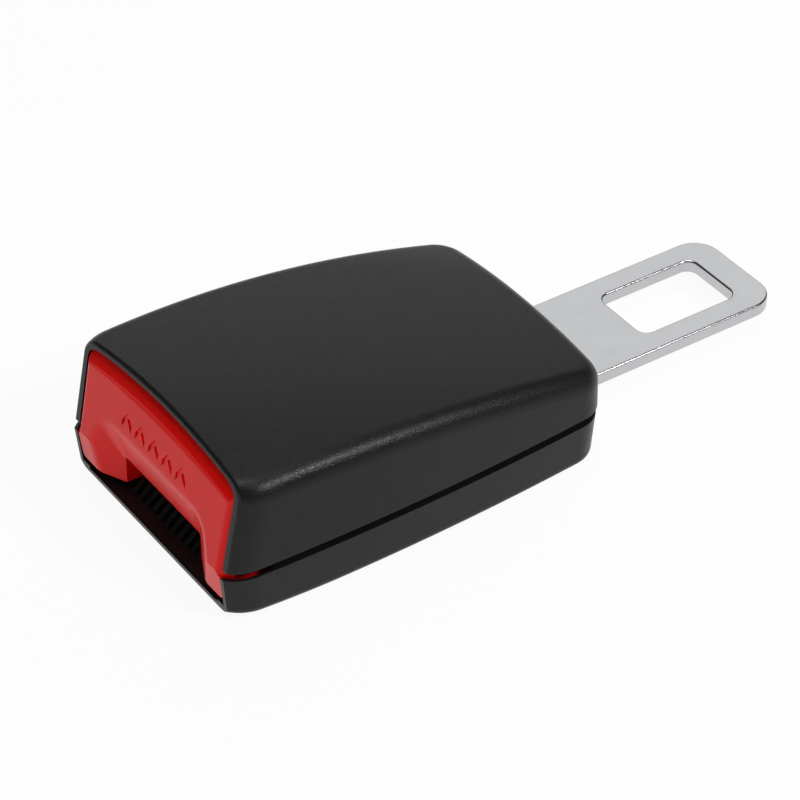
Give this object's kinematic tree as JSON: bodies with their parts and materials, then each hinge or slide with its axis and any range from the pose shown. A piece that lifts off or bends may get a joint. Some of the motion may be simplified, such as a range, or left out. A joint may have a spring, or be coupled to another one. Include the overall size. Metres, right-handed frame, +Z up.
{
  "type": "seat belt extender",
  "caption": "Short rigid seat belt extender: a push-button buckle in a rounded two-part case with a riveted steel latch tongue standing out of its rear end.",
  "frame": {"origin": "middle of the whole length from the front of the buckle to the tip of the tongue, on the surface that it lies on", "axes": "+X along the length towards the tip of the tongue, +Z up through the domed cover, -Y the near side in the picture"},
  "size_m": [0.1212, 0.0512, 0.0276],
  "materials": {
    "cover_plastic": "fine moulded grain",
    "button_plastic": "smooth satin moulding",
    "ejector_plastic": "smooth moulding",
    "frame_steel": "zinc plated pressing",
    "tongue_steel": "satin chrome plate",
    "spring_steel": "drawn wire",
    "screw_steel": "black oxide"
  },
  "bodies": {
    "case": {"upper_cover": "cover_plastic", "lower_cover": "cover_plastic", "buckle_frame": "frame_steel", "tongue_plate": "tongue_steel", "tongue_rivet_front": "tongue_steel", "tongue_rivet_rear": "tongue_steel", "latch_pin": "frame_steel", "latch_pin_washer": "frame_steel", "ejector_spring": "spring_steel", "button_spring_near": "spring_steel", "button_spring_far": "spring_steel", "latch_spring": "spring_steel", "cover_screw_front_near": "screw_steel", "cover_screw_rear_near": "screw_steel", "cover_screw_front_far": "screw_steel", "cover_screw_rear_far": "screw_steel"},
    "button": {"release_button": "button_plastic"},
    "slider": {"ejector": "ejector_plastic"},
    "latch": {"latch_plate": "frame_steel"},
    "lock": {"lock_bar": "frame_steel"}
  },
  "joints": [
    {"name": "button_press", "type": "slide", "parent": "case", "child": "button", "axis": [-1, 0, 0], "range_m": [-0.0055, 0], "stiffness_N_per_m": 200, "deforming": ["button_spring_near", "button_spring_far"]},
    {"name": "ejector_slide", "type": "slide", "parent": "case", "child": "slider", "axis": [1, 0, 0], "range_m": [0, 0.011], "stiffness_N_per_m": 60, "deforming": ["ejector_spring"]},
    {"name": "latch_pivot", "type": "hinge", "parent": "case", "child": "latch", "pos_m": [-0.01655, 0, 0.011], "axis": [0, 1, 0], "range_deg": [-16, 0], "deforming": ["latch_spring"]},
    {"name": "lock_bar_slide", "type": "slide", "parent": "case", "child": "lock", "axis": [-0.9259, 0, -0.3778], "range_m": [0, 0.00648]}
  ],
  "couplings": [
    {"joint": "latch_pivot", "follows": "ejector_slide", "rad_per_m": -25.38},
    {"joint": "lock_bar_slide", "follows": "ejector_slide", "ratio": 0.589}
  ]
}
